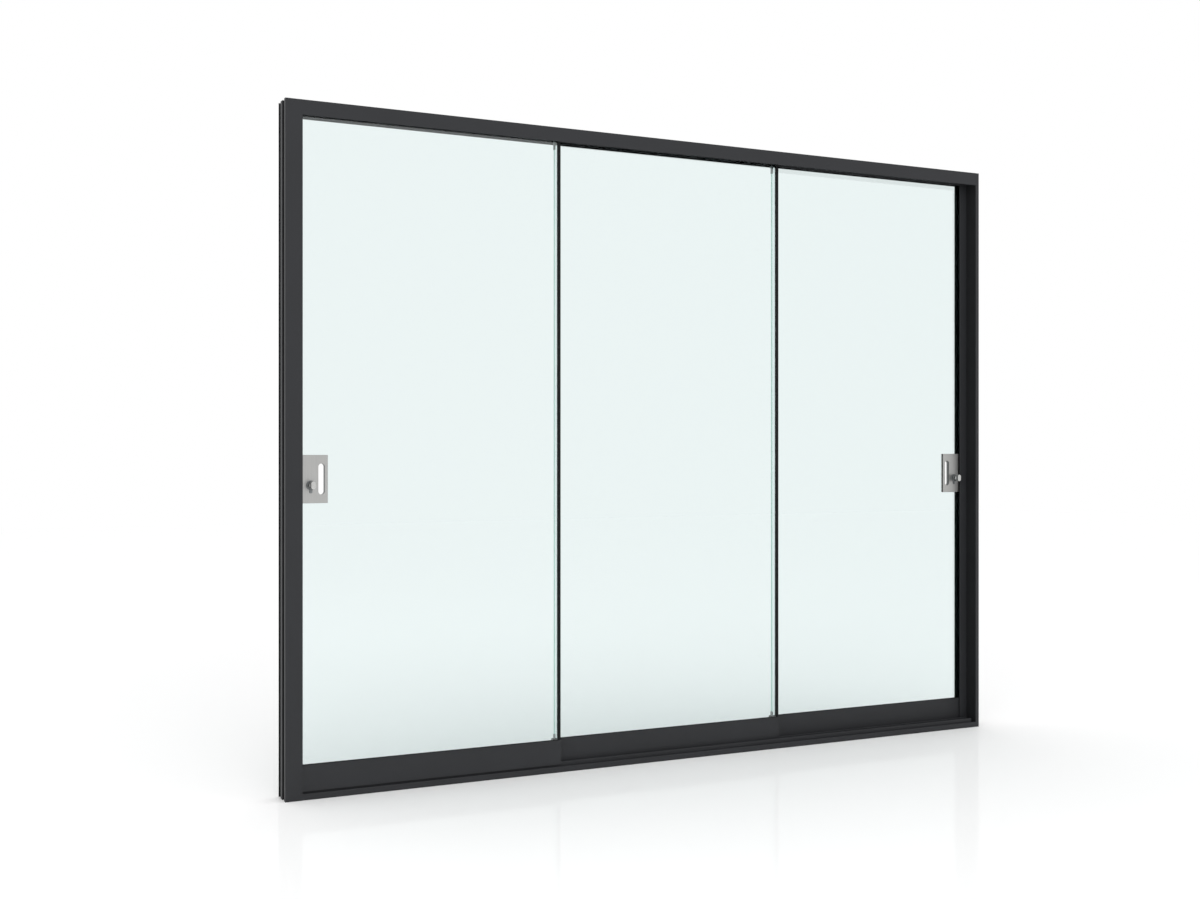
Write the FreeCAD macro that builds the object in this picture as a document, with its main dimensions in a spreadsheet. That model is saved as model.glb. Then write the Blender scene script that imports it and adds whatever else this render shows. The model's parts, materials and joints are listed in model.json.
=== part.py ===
import FreeCAD, Part
import math
import os
import re

import Sketcher

# Three-track sliding patio door: three glass leaves, each on a track of its own, in one aluminium frame.
# Millimetres. X runs along the wall, +Y points from the front to the back, +Z is up.
# The origin lies on the floor, in the middle of the frame's width and depth.

SIZES = [
    ("frame_width", 3035, "outside of one jamb to outside of the other"),
    ("frame_height", 2400, "floor to the top of the head"),
    ("track_pitch", 30.5, "middle of one track to the middle of the next"),
    ("track_edge", 16, "middle of an outer track to the face of the frame"),
    ("fin", 2, "thickness of the frame's fins and lips"),
    ("head_plate", 3, "thickness of the head's top plate"),
    ("head_front_fin", 52, "height of the head's front fin"),
    ("head_rear_fin", 48, "height of the fins behind it"),
    ("sill_plate", 3, "thickness of the sill's base"),
    ("sill_lip", 22, "height of the sill's two lips"),
    ("runner_height", 37, "floor to the top of a runner"),
    ("runner_width", 4, "thickness of a runner"),
    ("runner_round", 1.6, "rounding of a runner's top edges"),
    ("runner_stop", 12, "runner's end to the jamb"),
    ("jamb_thickness", 17, "outside of a jamb to its inner face"),
    ("jamb_web", 3, "thickness of the jamb's plain wall"),
    ("jamb_wall", 2, "wall of the jamb's hollow boxes"),
    ("jamb_front_box", 17, "depth of the box behind the jamb's face"),
    ("jamb_middle_box", 23, "depth of the box on the jamb's outer side"),
    ("jamb_box_offset", 8, "middle of the frame to the middle of that box"),
    ("jamb_flange", 60, "outside of a jamb to the tip of its flange"),
    ("jamb_fin", 54, "outside of a jamb to the tip of its inner fin"),
    ("pane_thickness", 10, "toughened glass"),
    ("pane_inset", 39, "outside of the frame to the outer edge of an end pane"),
    ("pane_overlap", 2.5, "width by which two panes cover each other"),
    ("right_pane_trim", 8, "width by which the right pane is narrower than the others"),
    ("pane_top_room", 20, "top of the frame to the top of a pane"),
    ("rail_bottom", 28.5, "floor to the underside of a rail"),
    ("rail_height", 90, "height of a bottom rail"),
    ("rail_thickness", 18, "thickness of a bottom rail"),
    ("rail_wall", 2, "wall of a bottom rail"),
    ("rail_chamber", 35, "height of the rail's open roller chamber"),
    ("rail_groove", 30, "depth of the rail's glazing groove"),
    ("rail_lead", 6.5, "part of a rail beyond the left edge of a pane that meets another"),
    ("gasket_foot", 2, "rubber under the glass"),
    ("gasket_rise", 1.5, "rubber that stands above the rail"),
    ("cap_thickness", 2, "end cap of a rail"),
    ("runner_room", 5, "air between a cap and the runner"),
    ("roller_radius", 12, "radius of a roller's tread"),
    ("roller_width", 10, "width of that tread"),
    ("roller_gap", 0.3, "air between the tread and the runner"),
    ("roller_inset", 120, "end of a rail to the middle of its roller"),
    ("axle_radius", 3, "axle of a roller"),
    ("strip_width", 10, "width of the strip on a pane's edge"),
    ("strip_back", 8, "part of that strip beyond the glass"),
    ("strip_wall", 3, "side wall of that strip"),
    ("clip_width", 4, "width of a corner clip"),
    ("clip_back", 1.5, "part of a corner clip beyond the glass"),
    ("clip_wall", 1, "side wall of a corner clip"),
    ("top_clip_drop", 28, "part of a top clip below the head's rear fins"),
    ("bottom_clip_rise", 16, "height of a bottom clip"),
    ("lock_height", 1100, "floor to the middle of a lock"),
    ("plate_width", 100, "width of a lock's cover plate"),
    ("plate_height", 166, "height of a lock's cover plate"),
    ("plate_thickness", 3.5, "thickness of a lock's cover plate"),
    ("plate_setback", 11, "edge of a pane to the cover plate"),
    ("right_lock_shift", 10.5, "distance by which the right lock sits nearer to its pane's edge"),
    ("plate_corner", 2, "corner radius of a cover plate"),
    ("plate_bevel", 0.8, "bevel round the face of a cover plate"),
    ("slot_width", 22.8, "width of the finger slot"),
    ("slot_height", 107, "height of the finger slot"),
    ("slot_setback", 88.9, "edge of a pane to the middle of the slot"),
    ("turn_setback", 51, "edge of a pane to the thumb-turn's axis"),
    ("turn_drop", 21, "middle of a lock down to the thumb-turn's axis"),
    ("turn_reach", 38.5, "cover plate to the face of the thumb-turn"),
    ("turn_gap", 0.3, "air between the thumb-turn and its rosette"),
    ("rosette_radius", 16, "radius of the rosette"),
    ("rosette_thickness", 4, "thickness of the rosette"),
    ("rosette_bevel", 1, "bevel on the rosette's rim"),
    ("leg_width", 10, "width of the leg of the lock cylinder under the rosette"),
    ("leg_drop", 28, "thumb-turn's axis to the bottom of that leg"),
    ("spindle_radius", 4, "radius of the thumb-turn's spindle"),
    ("spindle_play", 0.05, "air round the spindle in the rosette"),
    ("neck_radius", 12.5, "radius of the thumb-turn's neck"),
    ("grip_width", 18, "width of the thumb-turn's grip"),
    ("grip_height", 30, "height of the thumb-turn's grip"),
    ("grip_depth", 17, "depth of the thumb-turn's grip"),
    ("grip_bevel", 2, "bevel on the grip's front edge"),
]

doc = FreeCAD.newDocument("sliding_patio_door")
sheet = doc.addObject("Spreadsheet::Sheet", "Sizes")
for row, (alias, value, note) in enumerate(SIZES, start=1):
    sheet.set(f"A{row}", str(value))
    sheet.setAlias(f"A{row}", alias)
    sheet.set(f"B{row}", note)
doc.recompute()

START_RADIUS = 50
NEAR = 1e-4
pieces = []


def bound(sizes):
    """Turn the plain size words of an expression into references to the sheet."""
    return re.sub(r"[a-z][a-z_]*", lambda word: "Sizes." + word.group(), sizes)


def total(*terms):
    """Add size expressions up."""
    return " + ".join(f"({term})" for term in terms)


def new_piece(label, x="0", y="0", z="0", turned=0):
    """Start a sub-part at a place worked out from the sizes, turned about the vertical."""
    body = doc.addObject("PartDesign::Body", label)
    body.Label = label
    body.Placement.Rotation = FreeCAD.Rotation(FreeCAD.Vector(0, 0, 1), turned)
    for axis, place in zip("xyz", (x, y, z)):
        body.setExpression(f"Placement.Base.{axis}", bound(place))
    pieces.append(body)
    return body


def new_sketch(body, name, role, lift="0"):
    """Start a sketch on one of the piece's own origin planes, lifted along the plane's normal."""
    sketch = body.newObject("Sketcher::SketchObject", name)
    plane = next(feature for feature in body.Origin.OriginFeatures if feature.Role == role)
    sketch.AttachmentSupport = [(plane, "")]
    sketch.MapMode = "FlatFace"
    sketch.setExpression("AttachmentOffset.Base.z", bound(lift))
    return sketch


def bind(sketch, constraint, size):
    """Add a constraint and tie its value to the sheet."""
    index = sketch.addConstraint(constraint)
    sketch.setExpression(f"Constraints[{index}]", bound(size))


def outline(sketch, corners):
    """Draw a closed outline with straight sides; each corner is a pair of size expressions."""
    first = sketch.GeometryCount
    count = len(corners)
    turn = 2 * math.pi / count
    spots = [
        FreeCAD.Vector(START_RADIUS * math.cos(step * turn), START_RADIUS * math.sin(step * turn), 0)
        for step in range(count)
    ]
    for step in range(count):
        sketch.addGeometry(Part.LineSegment(spots[step], spots[(step + 1) % count]), False)
    for step in range(count):
        following = first + (step + 1) % count
        sketch.addConstraint(Sketcher.Constraint("Coincident", first + step, 2, following, 1))
    for step, (across, up) in enumerate(corners):
        line = first + step
        bind(sketch, Sketcher.Constraint("DistanceX", -1, 1, line, 1, spots[step].x), across)
        bind(sketch, Sketcher.Constraint("DistanceY", -1, 1, line, 1, spots[step].y), up)


def rectangle(sketch, left, right, low, high):
    """Draw an upright rectangle."""
    outline(sketch, [(left, low), (right, low), (right, high), (left, high)])


def round_ended_slot(sketch, across, up, width, height):
    """Draw an upright slot with half-round ends."""
    first = sketch.GeometryCount
    normal = FreeCAD.Vector(0, 0, 1)
    half = START_RADIUS
    for rise, begin, finish in ((half, 0, math.pi), (-half, math.pi, 2 * math.pi)):
        ring = Part.Circle(FreeCAD.Vector(0, rise, 0), normal, half)
        sketch.addGeometry(Part.ArcOfCircle(ring, begin, finish), False)
    upper, lower, left, right = first, first + 1, first + 2, first + 3
    for side in (-half, half):
        ends = FreeCAD.Vector(side, half, 0), FreeCAD.Vector(side, -half, 0)
        sketch.addGeometry(Part.LineSegment(*ends), False)
    for line, arc, line_end, arc_end in (
        (left, upper, 1, 2), (left, lower, 2, 1), (right, upper, 1, 1), (right, lower, 2, 2),
    ):
        sketch.addConstraint(Sketcher.Constraint("Tangent", line, line_end, arc, arc_end))
    sketch.addConstraint(Sketcher.Constraint("Equal", upper, lower))
    bind(sketch, Sketcher.Constraint("Radius", upper, half), f"({width}) / 2")
    for arc, sign, rise in ((upper, "+", half), (lower, "-", -half)):
        middle = f"({up}) {sign} (({height}) - ({width})) / 2"
        bind(sketch, Sketcher.Constraint("DistanceX", -1, 1, arc, 3, 0), across)
        bind(sketch, Sketcher.Constraint("DistanceY", -1, 1, arc, 3, rise), middle)


def pad(body, sketch, length, symmetric=False):
    """Extrude a sketch along its normal, or to both sides of it."""
    feature = body.newObject("PartDesign::Pad", sketch.Name + "_pad")
    feature.Profile = sketch
    feature.SideType = "Symmetric" if symmetric else "One side"
    feature.setExpression("Length", bound(length))
    doc.recompute()
    return feature


def pocket_through(body, sketch):
    """Cut a sketch right through the piece, to both sides of its plane."""
    before = body.Shape.Volume
    feature = body.newObject("PartDesign::Pocket", sketch.Name + "_pocket")
    feature.Profile = sketch
    feature.Type = "ThroughAll"
    feature.SideType = "Symmetric"
    doc.recompute()
    if feature.Shape.Volume >= before:
        raise RuntimeError(f"{feature.Name} cuts nothing")
    return feature


def dress(body, kind, feature, name, edges, **sizes):
    """Round or bevel chosen edges of a feature."""
    dressing = body.newObject("PartDesign::" + kind, name)
    dressing.Base = (feature, edges)
    for dimension, size in sizes.items():
        dressing.setExpression(dimension, bound(size))
    doc.recompute()
    return dressing


def edges_where(feature, test):
    """Name the edges whose every vertex passes a test on its place in the piece."""
    return [
        f"Edge{index}"
        for index, edge in enumerate(feature.Shape.Edges, start=1)
        if all(test(vertex.Point) for vertex in edge.Vertexes)
    ]


def near(one, other):
    """Say whether two places agree."""
    return abs(one - other) < NEAR


def read(alias):
    """Give a driving dimension's value."""
    return float(sheet.get(alias))


FRAME_LEFT = "-frame_width / 2"
FRAME_RIGHT = "frame_width / 2"
FRAME_FRONT = "-track_pitch - track_edge"
FRAME_BACK = "track_pitch + track_edge"
LINTEL_LENGTH = "frame_width - 2 * jamb_thickness"
FRONT_FACE_FIN = (FRAME_FRONT, total(FRAME_FRONT, "fin"))
REAR_FACE_FIN = (total(FRAME_BACK, "-fin"), FRAME_BACK)
FRONT_FIN = ("-track_pitch / 2 - fin / 2", "-track_pitch / 2 + fin / 2")
REAR_FIN = ("track_pitch / 2 - fin / 2", "track_pitch / 2 + fin / 2")
RAIL_TOP = "rail_bottom + rail_height"
GASKET_TOP = "rail_bottom + rail_height + gasket_rise"
PANE_WIDTH = "(frame_width - 2 * pane_inset + 2 * pane_overlap + right_pane_trim) / 3"
PANE_FOOT = "rail_bottom + rail_height - rail_groove + gasket_foot"
PANE_TOP = "frame_height - pane_top_room"


def make_jamb(label, x, turned):
    """Extrude a jamb: a wall with hollow outer boxes, and the flange and fin of a leaf's channel."""
    body = new_piece(label, x=x, turned=turned)
    sketch = new_sketch(body, label + "_section", "XY_Plane")
    wall = "jamb_thickness - jamb_web"
    box_front = "jamb_box_offset - jamb_middle_box / 2"
    box_back = "jamb_box_offset + jamb_middle_box / 2"
    front_box_back = total(FRAME_FRONT, "jamb_front_box")
    outline(sketch, [
        ("0", FRAME_FRONT),
        ("jamb_thickness", FRAME_FRONT),
        ("jamb_thickness", FRAME_BACK),
        ("0", FRAME_BACK),
        ("0", total(FRAME_BACK, "-fin")),
        (wall, total(FRAME_BACK, "-fin")),
        (wall, box_back),
        ("0", box_back),
        ("0", box_front),
        (wall, box_front),
        (wall, front_box_back),
        ("0", front_box_back),
    ])
    rectangle(sketch, "jamb_wall", wall, total(FRAME_FRONT, "jamb_wall"), total(front_box_back, "-jamb_wall"))
    rectangle(sketch, "jamb_wall", wall, total(box_front, "jamb_wall"), total(box_back, "-jamb_wall"))
    pad(body, sketch, "frame_height")
    for part, tip, sides in (("flange", "jamb_flange", FRONT_FACE_FIN), ("fin", "jamb_fin", FRONT_FIN)):
        name = f"{label}_{part}"
        blade = new_piece(name, x=x, turned=turned)
        section = new_sketch(blade, name + "_section", "XY_Plane")
        rectangle(section, "jamb_thickness", tip, *sides)
        pad(blade, section, "frame_height")


def make_bar(label, x, length, sides, low, high):
    """Extrude one straight bar of the frame along the wall."""
    body = new_piece(label, x=x)
    sketch = new_sketch(body, label + "_section", "YZ_Plane")
    rectangle(sketch, *sides, low, high)
    pad(body, sketch, length)
    return body


def make_plate(label, low, high):
    """Make the flat plate of the head or the sill, its ends notched round the jambs' flanges and fins."""
    start = f"{FRAME_LEFT} + jamb_thickness"
    body = make_bar(label, start, LINTEL_LENGTH, (FRAME_FRONT, FRAME_BACK), low, high)
    flange = "jamb_flange - jamb_thickness"
    fin = "jamb_fin - jamb_thickness"
    sketch = new_sketch(body, label + "_notches", "XY_Plane")
    rectangle(sketch, "0", flange, *FRONT_FACE_FIN)
    rectangle(sketch, "0", fin, *FRONT_FIN)
    rectangle(sketch, f"{LINTEL_LENGTH} - ({fin})", LINTEL_LENGTH, *REAR_FIN)
    rectangle(sketch, f"{LINTEL_LENGTH} - ({flange})", LINTEL_LENGTH, *REAR_FACE_FIN)
    pocket_through(body, sketch)


def make_blades(blades, low, high):
    """Make the upright blades between the jambs; each starts beyond the jamb's flange or fin in its plane."""
    for label, sides, left_room, right_room, foot in blades:
        length = f"frame_width - {left_room} - {right_room}"
        make_bar(label, f"{FRAME_LEFT} + {left_room}", length, sides, foot or low, high)


def make_head():
    """Make the head: a plate with four hanging fins, the front one longer, that make three channels."""
    make_plate("head_plate", "frame_height - head_plate", "frame_height")
    front_foot = "frame_height - head_front_fin"
    make_blades([
        ("head_front_fin", FRONT_FACE_FIN, "jamb_flange", "jamb_thickness", front_foot),
        ("head_second_fin", FRONT_FIN, "jamb_fin", "jamb_thickness", None),
        ("head_third_fin", REAR_FIN, "jamb_thickness", "jamb_fin", None),
        ("head_rear_fin", REAR_FACE_FIN, "jamb_thickness", "jamb_flange", None),
    ], "frame_height - head_rear_fin", "frame_height - head_plate")


def make_sill():
    """Make the sill: a plate with a lip on each long side and a round-topped runner under each leaf."""
    make_plate("sill_plate", "0", "sill_plate")
    make_blades([
        ("sill_front_lip", FRONT_FACE_FIN, "jamb_flange", "jamb_thickness", None),
        ("sill_rear_lip", REAR_FACE_FIN, "jamb_thickness", "jamb_flange", None),
    ], "sill_plate", "sill_lip")
    start = f"{FRAME_LEFT} + jamb_thickness + runner_stop"
    tracks = (("front_runner", "-track_pitch"), ("middle_runner", "0"), ("rear_runner", "track_pitch"))
    for label, track in tracks:
        sides = f"{track} - runner_width / 2", f"{track} + runner_width / 2"
        length = f"{LINTEL_LENGTH} - 2 * runner_stop"
        body = make_bar(label, start, length, sides, "sill_plate", "runner_height")
        bar = body.Tip
        crown = edges_where(bar, lambda spot: near(spot.z, read("runner_height")))
        width = read("runner_width")
        long_edges = [name for name in crown if bar.Shape.getElement(name).Length > width + NEAR]
        dress(body, "Fillet", bar, label + "_rounds", long_edges, Radius="runner_round")


class Leaf:
    """One sliding leaf: its track, its lock, where its pane stands and how far its rail reaches."""

    def __init__(self, name, number, track, width, lock_side):
        self.name = name
        self.track = track
        self.width = width
        self.lock_side = lock_side
        self.lock_shift = "right_lock_shift" if lock_side == "right" else "0"
        self.left = f"{FRAME_LEFT} + pane_inset + {number} * ({PANE_WIDTH} - pane_overlap)"
        self.right = f"{self.left} + {width}"
        self.rail_left = self.left if lock_side == "left" else f"{self.left} - rail_lead"
        self.rail_right = self.right if lock_side == "right" else f"{self.right} + strip_back"
        self.rail_length = f"{self.rail_right} - ({self.rail_left})"


def make_pane(leaf):
    """Cut the pane, with a notch in its closing edge where a lock goes through."""
    label = leaf.name + "_glass"
    body = new_piece(label, x=leaf.left, y=leaf.track)
    sketch = new_sketch(body, label + "_outline", "XZ_Plane")
    notch_low = "lock_height - plate_height / 2"
    notch_high = "lock_height + plate_height / 2"
    notch = f"plate_setback + plate_width - {leaf.lock_shift}"
    corners = [("0", PANE_FOOT), (leaf.width, PANE_FOOT)]
    if leaf.lock_side == "right":
        inner = f"{leaf.width} - ({notch})"
        corners += [
            (leaf.width, notch_low),
            (inner, notch_low),
            (inner, notch_high),
            (leaf.width, notch_high),
        ]
    corners += [(leaf.width, PANE_TOP), ("0", PANE_TOP)]
    if leaf.lock_side == "left":
        corners += [("0", notch_high), (notch, notch_high), (notch, notch_low), ("0", notch_low)]
    outline(sketch, corners)
    pad(body, sketch, "pane_thickness", symmetric=True)


def make_rail(leaf):
    """Extrude the bottom rail: a glazing groove above, a closed box, and an open roller chamber below."""
    label = leaf.name + "_bottom_rail"
    body = new_piece(label, x=leaf.rail_left, y=leaf.track, z="rail_bottom")
    sketch = new_sketch(body, label + "_section", "YZ_Plane")
    outer = "rail_thickness / 2"
    inner = "rail_thickness / 2 - rail_wall"
    groove_foot = "rail_height - rail_groove"
    outline(sketch, [
        (f"-({outer})", "0"),
        (f"-({inner})", "0"),
        (f"-({inner})", "rail_chamber"),
        (inner, "rail_chamber"),
        (inner, "0"),
        (outer, "0"),
        (outer, "rail_height"),
        (inner, "rail_height"),
        (inner, groove_foot),
        (f"-({inner})", groove_foot),
        (f"-({inner})", "rail_height"),
        (f"-({outer})", "rail_height"),
    ])
    rectangle(sketch, f"-({inner})", inner, "rail_chamber + rail_wall", f"{groove_foot} - rail_wall")
    pad(body, sketch, leaf.rail_length)


def make_gasket(leaf):
    """Extrude the rubber channel that the glass stands in."""
    label = leaf.name + "_glazing_gasket"
    body = new_piece(label, x=leaf.rail_left, y=leaf.track, z=total(RAIL_TOP, "-rail_groove"))
    sketch = new_sketch(body, label + "_section", "YZ_Plane")
    outer = "rail_thickness / 2 - rail_wall"
    inner = "pane_thickness / 2"
    top = "rail_groove + gasket_rise"
    outline(sketch, [
        (f"-({outer})", "0"),
        (outer, "0"),
        (outer, top),
        (inner, top),
        (inner, "gasket_foot"),
        (f"-({inner})", "gasket_foot"),
        (f"-({inner})", top),
        (f"-({outer})", top),
    ])
    pad(body, sketch, leaf.rail_length)


def make_rail_caps(leaf):
    """Make the two caps on the rail's ends, each open below where the runner passes."""
    outer = "rail_thickness / 2"
    side = "runner_width / 2 + runner_room"
    gate = "runner_height + runner_room - rail_bottom"
    for end, x in (("left", f"{leaf.rail_left} - cap_thickness"), ("right", leaf.rail_right)):
        label = f"{leaf.name}_rail_cap_{end}"
        body = new_piece(label, x=x, y=leaf.track, z="rail_bottom")
        sketch = new_sketch(body, label + "_outline", "YZ_Plane")
        outline(sketch, [
            (f"-({outer})", "0"),
            (f"-({side})", "0"),
            (f"-({side})", gate),
            (side, gate),
            (side, "0"),
            (outer, "0"),
            (outer, "rail_height"),
            (f"-({outer})", "rail_height"),
        ])
        pad(body, sketch, "cap_thickness")


def make_rollers(leaf):
    """Turn the two rollers, each in one piece with the axle that spans the rail's chamber."""
    half_axle = "rail_thickness / 2 - rail_wall"
    places = (("left", f"{leaf.rail_left} + roller_inset"), ("right", f"{leaf.rail_right} - roller_inset"))
    for end, x in places:
        label = f"{leaf.name}_roller_{end}"
        body = new_piece(label, x=x, y=leaf.track, z="runner_height + roller_gap + roller_radius")
        sketch = new_sketch(body, label + "_section", "XY_Plane")
        half = [
            ("0", half_axle),
            ("axle_radius", half_axle),
            ("axle_radius", "roller_width / 2"),
            ("roller_radius", "roller_width / 2"),
        ]
        mirrored = [(radius, f"-({along})") for radius, along in reversed(half)]
        outline(sketch, half + mirrored)
        wheel = body.newObject("PartDesign::Revolution", label + "_wheel")
        wheel.Profile = sketch
        wheel.ReferenceAxis = (sketch, ["V_Axis"])
        doc.recompute()


def make_edge_strip(leaf):
    """Extrude the dark strip that wraps the pane's right edge."""
    label = leaf.name + "_edge_strip"
    body = new_piece(label, x=leaf.right, y=leaf.track, z=GASKET_TOP)
    sketch = new_sketch(body, label + "_section", "XY_Plane")
    outer = "pane_thickness / 2 + strip_wall"
    inner = "pane_thickness / 2"
    lip = "strip_back - strip_width"
    outline(sketch, [
        ("strip_back", f"-({outer})"),
        ("strip_back", outer),
        (lip, outer),
        (lip, inner),
        ("0", inner),
        ("0", f"-({inner})"),
        (lip, f"-({inner})"),
        (lip, f"-({outer})"),
    ])
    pad(body, sketch, f"{PANE_TOP} - ({GASKET_TOP})")


def make_corner_clips(leaf):
    """Make the clips on the pane's left edge: one under the head, one on the bottom rail."""
    outer = "pane_thickness / 2 + clip_wall"
    inner = "pane_thickness / 2"
    lip = "clip_width - clip_back"
    top_start = "frame_height - head_rear_fin - top_clip_drop"
    stands = (("top", top_start, f"{PANE_TOP} - ({top_start})"), ("bottom", GASKET_TOP, "bottom_clip_rise"))
    for end, z, height in stands:
        label = f"{leaf.name}_{end}_clip"
        body = new_piece(label, x=leaf.left, y=leaf.track, z=z)
        sketch = new_sketch(body, label + "_section", "XY_Plane")
        outline(sketch, [
            ("-clip_back", f"-({outer})"),
            (lip, f"-({outer})"),
            (lip, f"-({inner})"),
            ("0", f"-({inner})"),
            ("0", inner),
            (lip, inner),
            (lip, outer),
            ("-clip_back", outer),
        ])
        pad(body, sketch, height)


def make_lock(leaf):
    """Make the lock in the pane's notch: its case, two cover plates, the rosette and the thumb-turn."""
    inward, edge = ("", leaf.left) if leaf.lock_side == "left" else ("-", leaf.right)
    name = leaf.lock_side + "_lock"
    glass_front = f"{leaf.track} - pane_thickness / 2"
    plate_front = f"{glass_front} - plate_thickness"
    slot_middle = f"{inward}(slot_setback - {leaf.lock_shift})"
    near_edge = f"{inward}(plate_setback - {leaf.lock_shift})"
    far_edge = f"{inward}(plate_setback + plate_width - {leaf.lock_shift})"

    case = new_piece(name + "_case", x=edge, y=leaf.track, z="lock_height")
    section = new_sketch(case, name + "_case_outline", "XZ_Plane")
    rectangle(section, "0", far_edge, "-plate_height / 2", "plate_height / 2")
    round_ended_slot(section, slot_middle, "0", "slot_width", "slot_height")
    pad(case, section, "pane_thickness", symmetric=True)

    for side, seat, reach in (("front", glass_front, -1), ("back", f"{leaf.track} + pane_thickness / 2", 1)):
        label = f"{name}_{side}_plate"
        plate = new_piece(label, x=edge, y=seat, z="lock_height")
        face = new_sketch(plate, label + "_outline", "XZ_Plane")
        rectangle(face, near_edge, far_edge, "-plate_height / 2", "plate_height / 2")
        sheet_metal = pad(plate, face, "plate_thickness")
        sheet_metal.Reversed = reach > 0
        doc.recompute()
        height = read("plate_height")
        corners = [
            edge_name for edge_name in edges_where(sheet_metal, lambda spot: near(abs(spot.z), height / 2))
            if near(sheet_metal.Shape.getElement(edge_name).Length, read("plate_thickness"))
        ]
        rounded = dress(plate, "Fillet", sheet_metal, label + "_corners", corners, Radius="plate_corner")
        outside = reach * read("plate_thickness")
        rim = edges_where(rounded, lambda spot: near(spot.y, outside))
        dress(plate, "Chamfer", rounded, label + "_bevel", rim, Size="plate_bevel")
        opening = new_sketch(plate, label + "_slot", "XZ_Plane")
        round_ended_slot(opening, slot_middle, "0", "slot_width", "slot_height")
        pocket_through(plate, opening)

    turn_x = f"{edge} + {inward}(turn_setback - {leaf.lock_shift})"
    turn_z = "lock_height - turn_drop"
    make_rosette(name + "_rosette", turn_x, plate_front, turn_z)
    make_thumb_turn(leaf.lock_side + "_thumb_turn", turn_x, plate_front, turn_z)


def make_rosette(label, x, y, z):
    """Turn the rosette under the thumb-turn, bored for its spindle, with the lock cylinder's leg below it."""
    body = new_piece(label, x=x, y=y, z=z)
    sketch = new_sketch(body, label + "_section", "XY_Plane")
    bore = "spindle_radius + spindle_play"
    outline(sketch, [
        (bore, "0"),
        ("rosette_radius", "0"),
        ("rosette_radius", "rosette_bevel - rosette_thickness"),
        ("rosette_radius - rosette_bevel", "-rosette_thickness"),
        (bore, "-rosette_thickness"),
    ])
    ring = body.newObject("PartDesign::Revolution", label + "_ring")
    ring.Profile = sketch
    ring.ReferenceAxis = (sketch, ["V_Axis"])
    doc.recompute()
    leg = new_sketch(body, label + "_leg_outline", "XZ_Plane")
    leg_top = "rosette_radius / 2"
    round_ended_slot(leg, "0", f"-(leg_drop + {leg_top}) / 2", "leg_width", f"leg_drop - {leg_top}")
    pad(body, leg, "rosette_thickness - rosette_bevel")


def make_thumb_turn(label, x, y, z):
    """Make the thumb-turn: a spindle and neck turned on the lathe, and a flat grip across their end."""
    body = new_piece(label, x=x, y=y, z=z)
    sketch = new_sketch(body, label + "_stem_section", "XY_Plane")
    neck_start = "-rosette_thickness - turn_gap"
    grip_start = "turn_reach - grip_depth"
    outline(sketch, [
        ("0", "-turn_gap"),
        ("spindle_radius", "-turn_gap"),
        ("spindle_radius", neck_start),
        ("neck_radius", neck_start),
        ("neck_radius", f"-({grip_start})"),
        ("0", f"-({grip_start})"),
    ])
    stem = body.newObject("PartDesign::Revolution", label + "_stem")
    stem.Profile = sketch
    stem.ReferenceAxis = (sketch, ["V_Axis"])
    doc.recompute()
    oval = new_sketch(body, label + "_grip_outline", "XZ_Plane", lift=grip_start)
    round_ended_slot(oval, "0", "0", "grip_width", "grip_height")
    grip = pad(body, oval, "grip_depth")
    rim = edges_where(grip, lambda spot: near(spot.y, -read("turn_reach")))
    dress(body, "Chamfer", grip, label + "_grip_bevel", rim, Size="grip_bevel")


LEAVES = [
    Leaf("left_leaf", 0, "-track_pitch", PANE_WIDTH, "left"),
    Leaf("middle_leaf", 1, "0", PANE_WIDTH, None),
    Leaf("right_leaf", 2, "track_pitch", f"{PANE_WIDTH} - right_pane_trim", "right"),
]

make_sill()
make_head()
make_jamb("left_jamb", FRAME_LEFT, 0)
make_jamb("right_jamb", FRAME_RIGHT, 180)
for leaf in LEAVES:
    make_pane(leaf)
    make_rail(leaf)
    make_gasket(leaf)
    make_rail_caps(leaf)
    make_rollers(leaf)
for leaf in LEAVES[:-1]:
    make_edge_strip(leaf)
for leaf in LEAVES[1:]:
    make_corner_clips(leaf)
for leaf in LEAVES:
    if leaf.lock_side:
        make_lock(leaf)
doc.recompute()

for item in doc.Objects:
    if "Invalid" in item.State or "Error" in item.State:
        raise RuntimeError(f"{item.Name} failed: {item.State}")
for piece in pieces:
    if piece.Shape.isNull() or not piece.Shape.isValid():
        raise RuntimeError(f"{piece.Label} has no valid shape")

os.makedirs("parts", exist_ok=True)
for piece in pieces:
    piece.Shape.exportStep(f"parts/{piece.Label}.step")
print(f"{len(pieces)} sub-parts written")
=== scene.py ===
# %% [markdown]
# # A three-track glass sliding patio door
# Three clear panes stand in slim black bottom rails. Each pane runs on its own track in a black
# aluminium frame, and the two end panes carry a steel lock with a finger slot.
# The imported model brings every solid at its true size and place, so nothing here is fitted by eye.
# What is left to do is what the eye sees: finishes, the rolled rims of two knobs, light, camera.
# The solids and their record are kept together at once.

# %% Load the door
import json
import math

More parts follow.
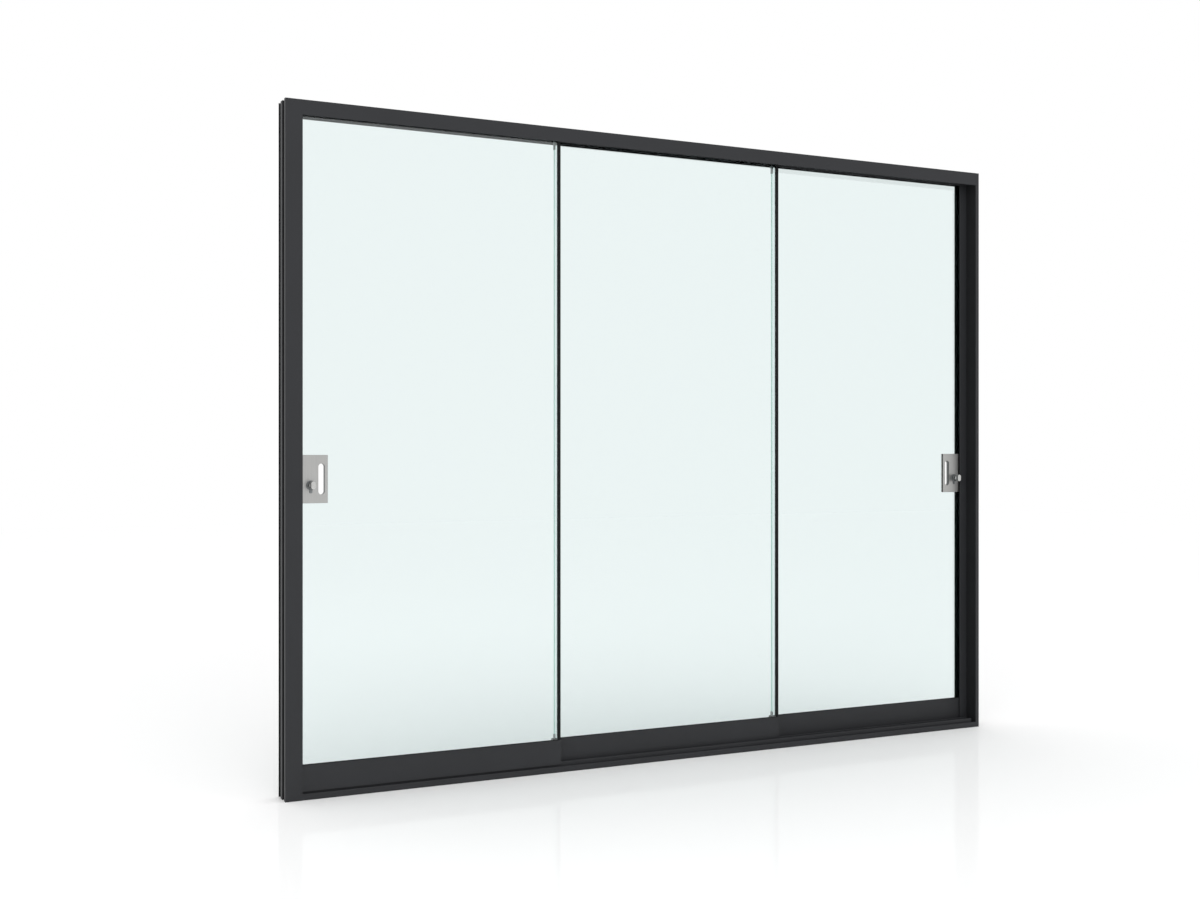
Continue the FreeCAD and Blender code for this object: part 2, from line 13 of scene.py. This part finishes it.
import bpy
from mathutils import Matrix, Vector


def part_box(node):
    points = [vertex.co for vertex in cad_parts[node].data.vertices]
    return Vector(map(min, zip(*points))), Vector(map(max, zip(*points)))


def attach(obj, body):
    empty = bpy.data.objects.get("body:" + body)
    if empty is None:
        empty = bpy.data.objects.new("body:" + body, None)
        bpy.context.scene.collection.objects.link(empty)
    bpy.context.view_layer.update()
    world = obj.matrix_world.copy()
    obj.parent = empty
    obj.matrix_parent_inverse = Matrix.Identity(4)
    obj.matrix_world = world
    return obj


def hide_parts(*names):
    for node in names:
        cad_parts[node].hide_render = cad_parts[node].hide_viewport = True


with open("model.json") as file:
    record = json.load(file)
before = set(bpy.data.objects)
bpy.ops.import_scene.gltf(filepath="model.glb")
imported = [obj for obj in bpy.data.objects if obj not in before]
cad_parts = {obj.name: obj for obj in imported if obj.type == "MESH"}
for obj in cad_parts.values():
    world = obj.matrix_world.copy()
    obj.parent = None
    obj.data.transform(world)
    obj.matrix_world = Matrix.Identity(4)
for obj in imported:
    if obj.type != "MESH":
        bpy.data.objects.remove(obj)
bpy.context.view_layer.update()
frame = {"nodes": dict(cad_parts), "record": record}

# %% [markdown]
# ## Helpers for every finish
# Screen colours are written as hex values, as a paint card would give them, but the shader works in
# linear light. One function does that sum for every colour, and none is linearised by hand.
# A node could be made and linked in four lines each time. One small function that takes the sockets
# as a dictionary keeps each finish short enough to read as a recipe.
# Pattern sizes are real millimetres: a texture node wants repeats per metre, which is one division.

# %% Helpers for every finish
MM = 0.001


def linear(hex_colour):
    """Turn an sRGB hex colour into linear light, with full cover."""
    channels = [int(hex_colour[start:start + 2], 16) / 255 for start in (1, 3, 5)]
    return [c / 12.92 if c <= 0.04045 else ((c + 0.055) / 1.055) ** 2.4 for c in channels] + [1.0]


def repeats(millimetres):
    """Give the repeats per metre of a pattern of that size."""
    return 1 / (millimetres * MM)


def add(tree, kind, sockets=None, **settings):
    """Add a node with its settings; a socket takes a plain value or a link from another node."""
    node = tree.nodes.new(kind)
    for name, value in settings.items():
        setattr(node, name, value)
    for name, value in (sockets or {}).items():
        if isinstance(value, bpy.types.NodeSocket):
            tree.links.new(value, node.inputs[name])
        else:
            node.inputs[name].default_value = value
    return node


def new_finish(name):
    """Start a material with an empty tree and the door's own coordinates in metres."""
    material = bpy.data.materials.new(name)
    material.use_nodes = True
    tree = material.node_tree
    tree.nodes.clear()
    place = add(tree, "ShaderNodeTexCoord").outputs["Object"]
    return material, tree, place


print("helpers ready")

# %% [markdown]
# ## Which way a face is turned
# Some finishes differ between the broad faces of a piece and its sides. Glass has ground edges. The
# sides of the lock metals and the channel walls of the frame are painted darker as painted shade.
# Each piece could be painted by hand, or split into two materials. The door is square to its three
# axes, though, so the surface normal tells the sides apart by itself: one part of it is near 1 on a
# face that is turned along that axis, and near 0 on the others. Between two limits the mask fades,
# as on a bevel.

# %% Which way a face is turned
TURNED_AWAY, TURNED_ALONG = 0.2, 0.9


def facing(tree, axis):
    """Give 1 on faces turned along one of the door's axes, and 0 on faces turned another way."""
    normal = add(tree, "ShaderNodeNewGeometry").outputs["Normal"]
    parts = add(tree, "ShaderNodeSeparateXYZ", {"Vector": normal})
    along = add(tree, "ShaderNodeMath", {0: parts.outputs[axis]}, operation="ABSOLUTE")
    share = add(tree, "ShaderNodeMapRange", {
        "Value": along.outputs["Value"], "From Min": TURNED_AWAY, "From Max": TURNED_ALONG})
    return share.outputs["Result"]


print("the mask fades from", TURNED_ALONG, "to", TURNED_AWAY, "of the normal")

# %% [markdown]
# ## Black powder coat on aluminium
# The frame and the rails are aluminium extrusions with a baked black powder coat. What the eye gets
# is a blue-black body colour under a satin skin. About half of the grey on an open face is that
# body, the rest is pale surroundings mirrored in the skin, so a face inside a channel goes darker.
# A flat grey paint would be the same grey in every corner, and a black gloss would be black there.
# Powder melts to a faint orange peel about 2 mm across, and the gloss drifts a little over a hand's
# width. A metal base under a coat layer could be built too, but the powder hides the metal.

# %% Black powder coat on aluminium
PEEL = 2
GLOSS_DRIFT = 180
coat, tree, place = new_finish("black_powder_coat")
peel = add(tree, "ShaderNodeTexNoise", {"Vector": place, "Scale": repeats(PEEL), "Detail": 2})
skin = add(tree, "ShaderNodeBump", {
    "Height": peel.outputs["Fac"], "Strength": 0.02, "Distance": 0.1 * MM})
drift = add(tree, "ShaderNodeTexNoise", {
    "Vector": place, "Scale": repeats(GLOSS_DRIFT), "Detail": 3})
body_shade = add(tree, "ShaderNodeMix", {
    "Factor": drift.outputs["Fac"], "A": linear("#28292b"), "B": linear("#2e2f32")},
    data_type="RGBA")
body_gloss = add(tree, "ShaderNodeMapRange", {
    "Value": drift.outputs["Fac"], "To Min": 0.5, "To Max": 0.6})
print(coat.name, "has a peel of", PEEL, "mm")

# %% [markdown]
# ## Painted shade in the channels
# The channels of the jambs are painted a darker coat with a duller gloss. The darker colour is
# painted shade, where the walls keep light from them. Two kinds of face are in them: webs, which are
# turned along the door and lie behind its wall face, and ribs, which stand outside the webs and are
# turned to the front or back. A face's normal and its place tell both from the faces that show.
# Places are measured from the middle of the door. The right jamb is the left one turned round, so
# one absolute value serves both.

# %% Find the channel walls
WALL_FACE, WEB_FACE, FRONT_FACE = 1516 * MM, 1503 * MM, 46 * MM
spot = add(tree, "ShaderNodeSeparateXYZ", {"Vector": place})
aside = add(tree, "ShaderNodeMath", {0: spot.outputs["X"]}, operation="ABSOLUTE")
depth = add(tree, "ShaderNodeMath", {0: spot.outputs["Y"]}, operation="ABSOLUTE")
behind = add(tree, "ShaderNodeMath", {
    0: aside.outputs["Value"], 1: WALL_FACE}, operation="LESS_THAN")
web = add(tree, "ShaderNodeMath", {
    0: behind.outputs["Value"], 1: facing(tree, "X")}, operation="MULTIPLY")
inner = add(tree, "ShaderNodeMath", {
    0: depth.outputs["Value"], 1: FRONT_FACE}, operation="LESS_THAN")
outer = add(tree, "ShaderNodeMath", {
    0: aside.outputs["Value"], 1: WEB_FACE}, operation="GREATER_THAN")
walls = add(tree, "ShaderNodeMath", {
    0: inner.outputs["Value"], 1: outer.outputs["Value"]}, operation="MULTIPLY")
rib = add(tree, "ShaderNodeMath", {
    0: walls.outputs["Value"], 1: facing(tree, "Y")}, operation="MULTIPLY")
painted_channel_shade = add(tree, "ShaderNodeMath", {
    0: web.outputs["Value"], 1: rib.outputs["Value"]}, operation="MAXIMUM")
print("webs end at", round(WALL_FACE, 3), "m, ribs start at", round(WEB_FACE, 3), "m")

# %% [markdown]
# ## Close the powder coat
# The mask mixes the body's colour and gloss outside with painted shade in the channels: a darker
# colour and a duller gloss. Plain resin has an IOR near 1.5. The fine satin skin mirrors less, and
# 1.35 matches it.

# %% Close the powder coat
COAT_IOR = 1.35
# The channels take #1a1b1d, a darker colour painted as shade.
shade = add(tree, "ShaderNodeMix", {
    "Factor": painted_channel_shade.outputs["Value"], "A": body_shade.outputs["Result"],
    "B": linear("#1a1b1d")}, data_type="RGBA")
gloss = add(tree, "ShaderNodeMapRange", {
    "Value": painted_channel_shade.outputs["Value"], "To Min": body_gloss.outputs["Result"], "To Max": 0.8})
surface = add(tree, "ShaderNodeBsdfPrincipled", {
    "Base Color": shade.outputs["Result"], "Roughness": gloss.outputs["Result"], "IOR": COAT_IOR,
    "Normal": skin.outputs["Normal"]})
add(tree, "ShaderNodeOutputMaterial", {"Surface": surface.outputs["BSDF"]})
print(coat.name, "made of", len(tree.nodes), "nodes")

# %% [markdown]
# ## Clear toughened glass
# The panes are 10 mm float glass, toughened in a furnace. Seen square on it is almost clear with a
# breath of green, and the tint belongs inside the solid: absorption grows with the path by itself,
# where a green base colour would tint a thin and a thick pane alike. The furnace rollers leave a
# wave of about 300 mm in the surface, too shallow to feel, which bends mirrored lines a little.
# The cut edges are ground matt, so they glow mint instead of showing what lies behind. The faces of
# a pane point along the door's depth and its edges don't, so the normal tells the two apart.
# In the notches of the end panes, where a lock casting fills the notch, the edge is painted dark as
# painted shade.

# %% Edges of the panes
GROUND_EDGE, NOTCH_EDGE_SHADE = "#d6fff2", "#2c2e2e"
LOCK_HEIGHT, NOTCH_REACH, NOTCH_START = 1100 * MM, 85 * MM, 1350 * MM
glass, tree, place = new_finish("clear_toughened_glass")
polished = facing(tree, "Y")
spot = add(tree, "ShaderNodeSeparateXYZ", {"Vector": place})
aside = add(tree, "ShaderNodeMath", {0: spot.outputs["X"]}, operation="ABSOLUTE")
beyond = add(tree, "ShaderNodeMath", {
    0: aside.outputs["Value"], 1: NOTCH_START}, operation="GREATER_THAN")
level = add(tree, "ShaderNodeMath", {
    0: spot.outputs["Z"], 1: LOCK_HEIGHT, 2: NOTCH_REACH}, operation="COMPARE")
notch_shade = add(tree, "ShaderNodeMath", {
    0: beyond.outputs["Value"], 1: level.outputs["Value"]}, operation="MULTIPLY")
# The edges in the notches take a dark colour as painted shade.
rim = add(tree, "ShaderNodeMix", {
    "Factor": notch_shade.outputs["Value"], "A": linear(GROUND_EDGE), "B": linear(NOTCH_EDGE_SHADE)},
    data_type="RGBA")
print("notches found", round(LOCK_HEIGHT, 3), "m above the floor")

# %% [markdown]
# ## The panes' faces and body
# Plain glass has an IOR of 1.5. These panes mirror about twice as much, as panes with a hard
# coating do, and an IOR of 1.75 gives that mirror image with no second layer.
# The mask from the normal turns three things at once: colour, roughness and how much light gets in.

# %% Clear toughened glass
ROLLER_WAVE = 300
GLASS_IOR = 1.75
TINT_DENSITY = 60.0
WHITE = linear("#ffffff")
wave = add(tree, "ShaderNodeTexNoise", {
    "Vector": place, "Scale": repeats(ROLLER_WAVE), "Detail": 0})
ripple = add(tree, "ShaderNodeBump", {
    "Height": wave.outputs["Fac"], "Strength": 0.05, "Distance": 0.3 * MM})
colour = add(tree, "ShaderNodeMix", {
    "Factor": polished, "A": rim.outputs["Result"], "B": WHITE}, data_type="RGBA")
grind = add(tree, "ShaderNodeMapRange", {"Value": polished, "To Min": 0.6, "To Max": 0.0})
clear = add(tree, "ShaderNodeMapRange", {"Value": polished, "To Min": 0.15, "To Max": 1.0})
surface = add(tree, "ShaderNodeBsdfPrincipled", {
    "Base Color": colour.outputs["Result"], "Roughness": grind.outputs["Result"], "IOR": GLASS_IOR,
    "Transmission Weight": clear.outputs["Result"], "Normal": ripple.outputs["Normal"]})
tint = add(tree, "ShaderNodeVolumeAbsorption", {
    "Color": linear("#dbedec"), "Density": TINT_DENSITY})
add(tree, "ShaderNodeOutputMaterial", {
    "Surface": surface.outputs["BSDF"], "Volume": tint.outputs["Volume"]})
print(glass.name, "made of", len(tree.nodes), "nodes")

# %% [markdown]
# ## Rubber, moulded plastic and nylon
# The glass stands in an extruded black rubber channel, and the strips between the panes are the
# same rubber. The rails end in moulded black caps, and small grey clips sit on the panes' left
# edges. The rollers under the rails are pale nylon.
# All are matt because their skins are rough at a scale below sight: rubber blooms in patches,
# moulded plastic copies the spark-eroded grain of its mould. Rubber also mirrors less than plastic.
# They differ only in colours, gloss and grain size, so one recipe with a row of values makes them.

# %% Rubber, moulded plastic and nylon
# Each row: dark and pale colour, least and most roughness, grain in mm, share of mirroring.
MOULDINGS = {
    "glazing_rubber": ("#131415", "#1b1c1d", 0.55, 0.75, 25, 0.15),
    "black_plastic": ("#1c1d1e", "#252628", 0.35, 0.50, 1.5, 0.35),
    "grey_plastic": ("#7b8080", "#8f9494", 0.40, 0.55, 1.5, 0.4),
    "roller_nylon": ("#b9b7b0", "#cdcbc5", 0.40, 0.55, 8, 0.5),
}
PLASTIC_IOR = 1.5
finishes = {"coated_aluminium": coat, "clear_glass": glass}
for slot, (dark, pale, smooth, rough, grain, mirror) in MOULDINGS.items():
    moulded, tree, place = new_finish("moulded_" + slot)
    speck = add(tree, "ShaderNodeTexNoise", {
        "Vector": place, "Scale": repeats(grain), "Detail": 4})
    colour = add(tree, "ShaderNodeMix", {
        "Factor": speck.outputs["Fac"], "A": linear(dark), "B": linear(pale)}, data_type="RGBA")
    matt = add(tree, "ShaderNodeMapRange", {
        "Value": speck.outputs["Fac"], "To Min": smooth, "To Max": rough})
    relief = add(tree, "ShaderNodeBump", {
        "Height": speck.outputs["Fac"], "Strength": 0.2, "Distance": 0.05 * MM})
    surface = add(tree, "ShaderNodeBsdfPrincipled", {
        "Base Color": colour.outputs["Result"], "Roughness": matt.outputs["Result"],
        "IOR": PLASTIC_IOR, "Specular IOR Level": mirror, "Normal": relief.outputs["Normal"]})
    add(tree, "ShaderNodeOutputMaterial", {"Surface": surface.outputs["BSDF"]})
    finishes[slot] = moulded
print(len(MOULDINGS), "moulded finishes made")

# %% [markdown]
# ## The metals of the locks
# The cover plates are stainless sheet, brushed upwards with a fine belt: long, nearly straight
# scratches, which smear what the metal mirrors. The knobs are turned on a lathe, so their marks run
# round them. Inside the plates sit zinc castings that nobody polishes, with a dull, blotchy skin.
# Sides and slot walls take a darker second colour in each metal, as painted shade; the normal tells
# a side from a face, as on the glass.
# A wave texture repeats too neatly for any of these. All three are noise, stretched a hundredfold
# along the belt's way, across the lathe's way, or evenly; it feeds the colour a little, the
# roughness more, and a shallow relief. The true scratches are about 0.2 mm apart; they are drawn
# 1.2 mm apart here, because the true ones would fall between the pixels.

# %% The metals of the locks
SCRATCH = 1.2
# Each row: dark and pale colour of a face, painted shade colour of a side, least and most roughness,
# stretch.
METALS = {
    "brushed_stainless_steel": ("#a6a6a5", "#bcbcba", "#565858", 0.28, 0.42, (1, 1, 0.01)),
    "turned_stainless_steel": ("#b8b8b6", "#cacac8", "#848686", 0.15, 0.28, (0.01, 1, 0.01)),
    "cast_zinc": ("#75787a", "#8b8e8f", "#6e7172", 0.40, 0.55, (0.2, 0.2, 0.2)),
}
metals = {}
for name, (dark, pale, side, smooth, rough, stretch) in METALS.items():
    metal, tree, place = new_finish(name)
    drawn = add(tree, "ShaderNodeMapping", {"Vector": place, "Scale": Vector(stretch)})
    mark = add(tree, "ShaderNodeTexNoise", {
        "Vector": drawn.outputs["Vector"], "Scale": repeats(SCRATCH), "Detail": 3})
    face = add(tree, "ShaderNodeMix", {
        "Factor": mark.outputs["Fac"], "A": linear(dark), "B": linear(pale)}, data_type="RGBA")
    # Sides take the side colour, a painted shade of the metal.
    colour = add(tree, "ShaderNodeMix", {
        "Factor": facing(tree, "Y"), "A": linear(side), "B": face.outputs["Result"]},
        data_type="RGBA")
    matt = add(tree, "ShaderNodeMapRange", {
        "Value": mark.outputs["Fac"], "To Min": smooth, "To Max": rough})
    relief = add(tree, "ShaderNodeBump", {
        "Height": mark.outputs["Fac"], "Strength": 0.15, "Distance": 0.05 * MM})
    surface = add(tree, "ShaderNodeBsdfPrincipled", {
        "Base Color": colour.outputs["Result"], "Metallic": 1.0,
        "Roughness": matt.outputs["Result"], "Normal": relief.outputs["Normal"]})
    add(tree, "ShaderNodeOutputMaterial", {"Surface": surface.outputs["BSDF"]})
    metals[name] = metal
finishes["brushed_steel"] = metals["brushed_stainless_steel"]
print(len(METALS), "metals made")

# %% [markdown]
# ## Dress the solids
# The record says which finish each solid takes. Going through that list is safer than going through
# names in the scene: a solid that was forgotten stops the script here, not in the picture.
# The record calls the whole lock steel; its castings are set apart afterwards.

# %% Dress the solids
CASTINGS = ("left_lock_case", "right_lock_case", "left_lock_rosette", "right_lock_rosette")


def dress(node, finish):
    """Give a solid one finish."""
    solid = frame["nodes"][node]
    solid.data.materials.clear()
    solid.data.materials.append(finish)


for row in frame["record"]["subparts"]:
    dress(row["node"], finishes[row["material_slot"]])
for node in CASTINGS:
    dress(node, metals["cast_zinc"])

# %% [markdown]
# ## The knobs of the thumb-turns
# Each lock is worked by a knob: a round body with a flat grip milled on its end. The solid has
# plain edges; on the real one the grip's rim is rolled over and a cone runs out from the body, so
# the knob is modelled anew. Both of its parts start as a round bar along the door's depth.
# An operator works on all that is selected, so one helper selects end faces by the way they are
# turned, and the other adds a bar with nothing else selected and its place kept in the mesh.

# %% Helpers for the knobs
SIDES = 48
END_FACE = 0.9


def select_end(mesh, way):
    """Leave edit mode's selection on the end faces turned to the front (-1) or to the back (1)."""
    bpy.ops.mesh.select_mode(type="FACE")
    bpy.ops.mesh.select_all(action="DESELECT")
    bpy.ops.object.mode_set(mode="OBJECT")
    for face in mesh.polygons:
        face.select = face.normal.y * way > END_FACE
    bpy.ops.object.mode_set(mode="EDIT")


def add_round_bar(centre, radius, depth):
    """Add a round bar along the door's depth, placed in its mesh, and open it in edit mode."""
    bpy.ops.object.select_all(action="DESELECT")
    bpy.ops.mesh.primitive_cylinder_add(vertices=SIDES, radius=radius, depth=depth,
                                        location=centre,
                                        rotation=(math.pi / 2, math.pi / SIDES, 0))
    bpy.ops.object.transform_apply(location=True, rotation=True, scale=True)
    bpy.ops.object.mode_set(mode="EDIT")
    return bpy.context.object


print("round bars have", SIDES, "sides")

# %% [markdown]
# ## The grip
# A bevelled box would do for the grip, if its corners were fitted to its width. A round bar needs
# no fitting: its upper and lower halves are pulled apart, the sides between them come out flat, and
# both ends stay truly round. Then the loop round each end face is bevelled. The front rim, which
# fingers meet, is rolled by 3 mm and the back rim by 2 mm.

# %% Model one grip
GRIP_WIDTH, GRIP_HEIGHT, GRIP_DEPTH = 18 * MM, 30 * MM, 17 * MM
FRONT, BACK = -1, 1
ROLLED_RIMS = ((FRONT, 3 * MM, 5), (BACK, 2 * MM, 4))
low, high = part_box("left_thumb_turn")
middle = (low + high) / 2
grip_back = low.y + GRIP_DEPTH
knob = add_round_bar((middle.x, low.y + GRIP_DEPTH / 2, middle.z), GRIP_WIDTH / 2, GRIP_DEPTH)
knob.name = "left_knob"
bpy.ops.mesh.select_mode(type="VERT")
for side in (1, -1):
    bpy.ops.mesh.select_all(action="DESELECT")
    bpy.ops.object.mode_set(mode="OBJECT")
    for vertex in knob.data.vertices:
        vertex.select = (vertex.co.z - middle.z) * side > 0
    bpy.ops.object.mode_set(mode="EDIT")
    bpy.ops.transform.translate(value=(0, 0, side * (GRIP_HEIGHT - GRIP_WIDTH) / 2))
for way, roll, steps in ROLLED_RIMS:
    select_end(knob.data, way)
    bpy.ops.mesh.region_to_loop()
    bpy.ops.mesh.bevel(offset=roll, segments=steps)
bpy.ops.object.mode_set(mode="OBJECT")
print(knob.name, len(knob.data.polygons), "faces in the grip")

# %% [markdown]
# ## The knob's round body
# The body is a second bar, from the grip to just before the rosette. A cone could be added as a
# primitive of its own, but then it would have to be welded on. Here the bar's front end is extruded
# and scaled in two steps, which gives the cone; its back end is inset and extruded to a spindle.

# %% Model the round body
BODY_RADIUS, SPINDLE_RADIUS = 12.5 * MM, 4 * MM
CONE_STEPS = ((1.5 * MM, 0.94), (4 * MM, 0.75))
PLAY = 0.3 * MM
body_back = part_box("left_lock_rosette")[0].y - PLAY
body_length = body_back - grip_back
body = add_round_bar((middle.x, grip_back + body_length / 2, middle.z), BODY_RADIUS, body_length)
select_end(body.data, FRONT)
for push, taper in CONE_STEPS:
    bpy.ops.mesh.extrude_region_move(TRANSFORM_OT_translate={"value": (0, -push, 0)})
    bpy.ops.transform.resize(value=(taper, 1, taper))
select_end(body.data, BACK)
bpy.ops.mesh.inset(thickness=BODY_RADIUS - SPINDLE_RADIUS)
bpy.ops.mesh.extrude_region_move(TRANSFORM_OT_translate={"value": (0, high.y - body_back, 0)})
bpy.ops.object.mode_set(mode="OBJECT")
print("round body", round(body_length / MM, 1), "mm long")

# %% [markdown]
# ## One skin for grip and body
# The cone's tip ends inside the grip. Two meshes that cut each other would keep faces inside, so a
# boolean joins them to one skin. Edges flatter than 35 degrees are then shaded smooth: round sides
# look round, and the crease where the body meets the grip stays sharp.

# %% Join it to the grip
SMOOTH_ANGLE = math.radians(35)
bpy.ops.object.select_all(action="DESELECT")
bpy.context.view_layer.objects.active = knob
knob.select_set(True)
union = knob.modifiers.new("body", "BOOLEAN")
union.operation = "UNION"
union.object = body
bpy.ops.object.modifier_apply(modifier=union.name)
bpy.data.objects.remove(body)
bpy.ops.object.shade_smooth_by_angle(angle=SMOOTH_ANGLE)
knob.data.materials.clear()
knob.data.materials.append(metals["turned_stainless_steel"])
print(knob.name, len(knob.data.polygons), "faces with the body")

# %% [markdown]
# ## The second knob
# The right lock has the same knob. It is copied with a mesh of its own and shifted by the distance
# between the two solids, then both take the solids' places on their own turning bodies.

# %% Copy it to the right lock
bpy.ops.object.duplicate()
twin = bpy.context.object
twin.name = "right_knob"
bpy.ops.transform.translate(value=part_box("right_thumb_turn")[0] - low)
bpy.ops.object.transform_apply(location=True, rotation=True, scale=True)
for piece, node in ((knob, "left_thumb_turn"), (twin, "right_thumb_turn")):
    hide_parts(node)
    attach(piece, node)
    print(piece.name, "stands for", node)

# %% [markdown]
# ## A pale floor
# The door stands on a plain white studio floor with a trace of polish. White enough to melt into
# the background, it still shows the door's contact shadow and a faint mirror image under the frame.
# On true polish the mirror image grows as the view gets flatter, which would draw a dark bar before
# the sill, so a matt and a mirroring shader are mixed evenly instead. Both send back all their
# light: at its far end the floor has the tone of the background, and no horizon crosses the panes.

# %% A pale floor
FLOOR_SIZE = 36
FLOOR_MIRROR, FLOOR_BLUR = 0.06, 0.07
bpy.ops.object.select_all(action="DESELECT")
bpy.ops.mesh.primitive_plane_add(size=FLOOR_SIZE)
floor = bpy.context.object
floor.name = "studio_floor"
polish, tree, _ = new_finish("white_studio_floor")
matt = add(tree, "ShaderNodeBsdfDiffuse", {"Color": WHITE})
mirror = add(tree, "ShaderNodeBsdfGlossy", {"Color": WHITE, "Roughness": FLOOR_BLUR})
surface = add(tree, "ShaderNodeMixShader", {
    0: FLOOR_MIRROR, 1: matt.outputs["BSDF"], 2: mirror.outputs["BSDF"]})
add(tree, "ShaderNodeOutputMaterial", {"Surface": surface.outputs["Shader"]})
floor.data.materials.append(polish)
print(floor.name, FLOOR_SIZE, "m wide")

# %% [markdown]
# ## White surroundings
# Black gloss and clear glass show little but their surroundings, so these are the real lighting. A
# white dome of strength 1 is what lens, mirror and glass see, and it lights everything evenly. A
# picture of a studio could surround the door instead, but its lamps would show in the panes.

# %% White surroundings
world = bpy.data.worlds.new("white_surroundings")
bpy.context.scene.world = world
world.use_nodes = True
tree = world.node_tree
tree.nodes.clear()
dome = add(tree, "ShaderNodeBackground", {"Color": WHITE, "Strength": 1.0})
add(tree, "ShaderNodeOutputWorld", {"Surface": dome.outputs["Background"]})
bpy.context.scene.view_settings.view_transform = "Standard"
print(world.name, "of strength", dome.inputs["Strength"].default_value)

# %% [markdown]
# ## One soft lamp
# Under a dome alone the floor in front goes grey, because the door keeps part of the dome from it.
# A soft box of three metres, high on the front left, gives that light back, and leaves the floor
# behind in the door's own soft shade. A sun would do the same on the door, but it would light the
# far floor too, and a line would show where the floor ends. The box is hidden from lens, mirror and
# glass, so no bright square hangs in the panes. Its watts are worked out from how bright its face
# is, so that they follow its size.

# %% One soft lamp
BOX_SIZE = 3
BOX_PLACE = Vector((-2.0, -4.3, 4.4))
BOX_AIM = Vector((0, -0.5, 0))
BOX_RADIANCE = 2.1
bpy.ops.object.light_add(type="AREA", location=BOX_PLACE)
soft_box = bpy.context.object
soft_box.name = "soft_box"
soft_box.rotation_euler = (BOX_AIM - BOX_PLACE).to_track_quat("-Z", "Y").to_euler()
soft_box.data.size = BOX_SIZE
soft_box.data.energy = BOX_RADIANCE * math.pi * BOX_SIZE ** 2
for rays_hidden in ("visible_camera", "visible_glossy", "visible_transmission"):
    setattr(soft_box, rays_hidden, False)
print(soft_box.name, "of", round(soft_box.data.energy, 1), "W")

# %% [markdown]
# ## The photographer's place
# The verticals in the picture are parallel, so the camera is level, at half the door's height. The
# door's long lines meet at one far point, which gives the turn; the spread of the lines gives a
# view 45 degrees wide. These three, and the door's real width, fix where the camera stands.

# %% The photographer's place
CAMERA_PLACE = (-2.7644, -4.9345, 1.2)
CAMERA_TURN = math.radians(-26.565)
VIEW_WIDTH = math.radians(45)
bpy.ops.object.camera_add(location=CAMERA_PLACE, rotation=(math.pi / 2, 0, CAMERA_TURN))
camera = bpy.context.object
camera.data.angle = VIEW_WIDTH
bpy.context.scene.camera = camera
print("lens", round(camera.data.lens, 2), "mm")
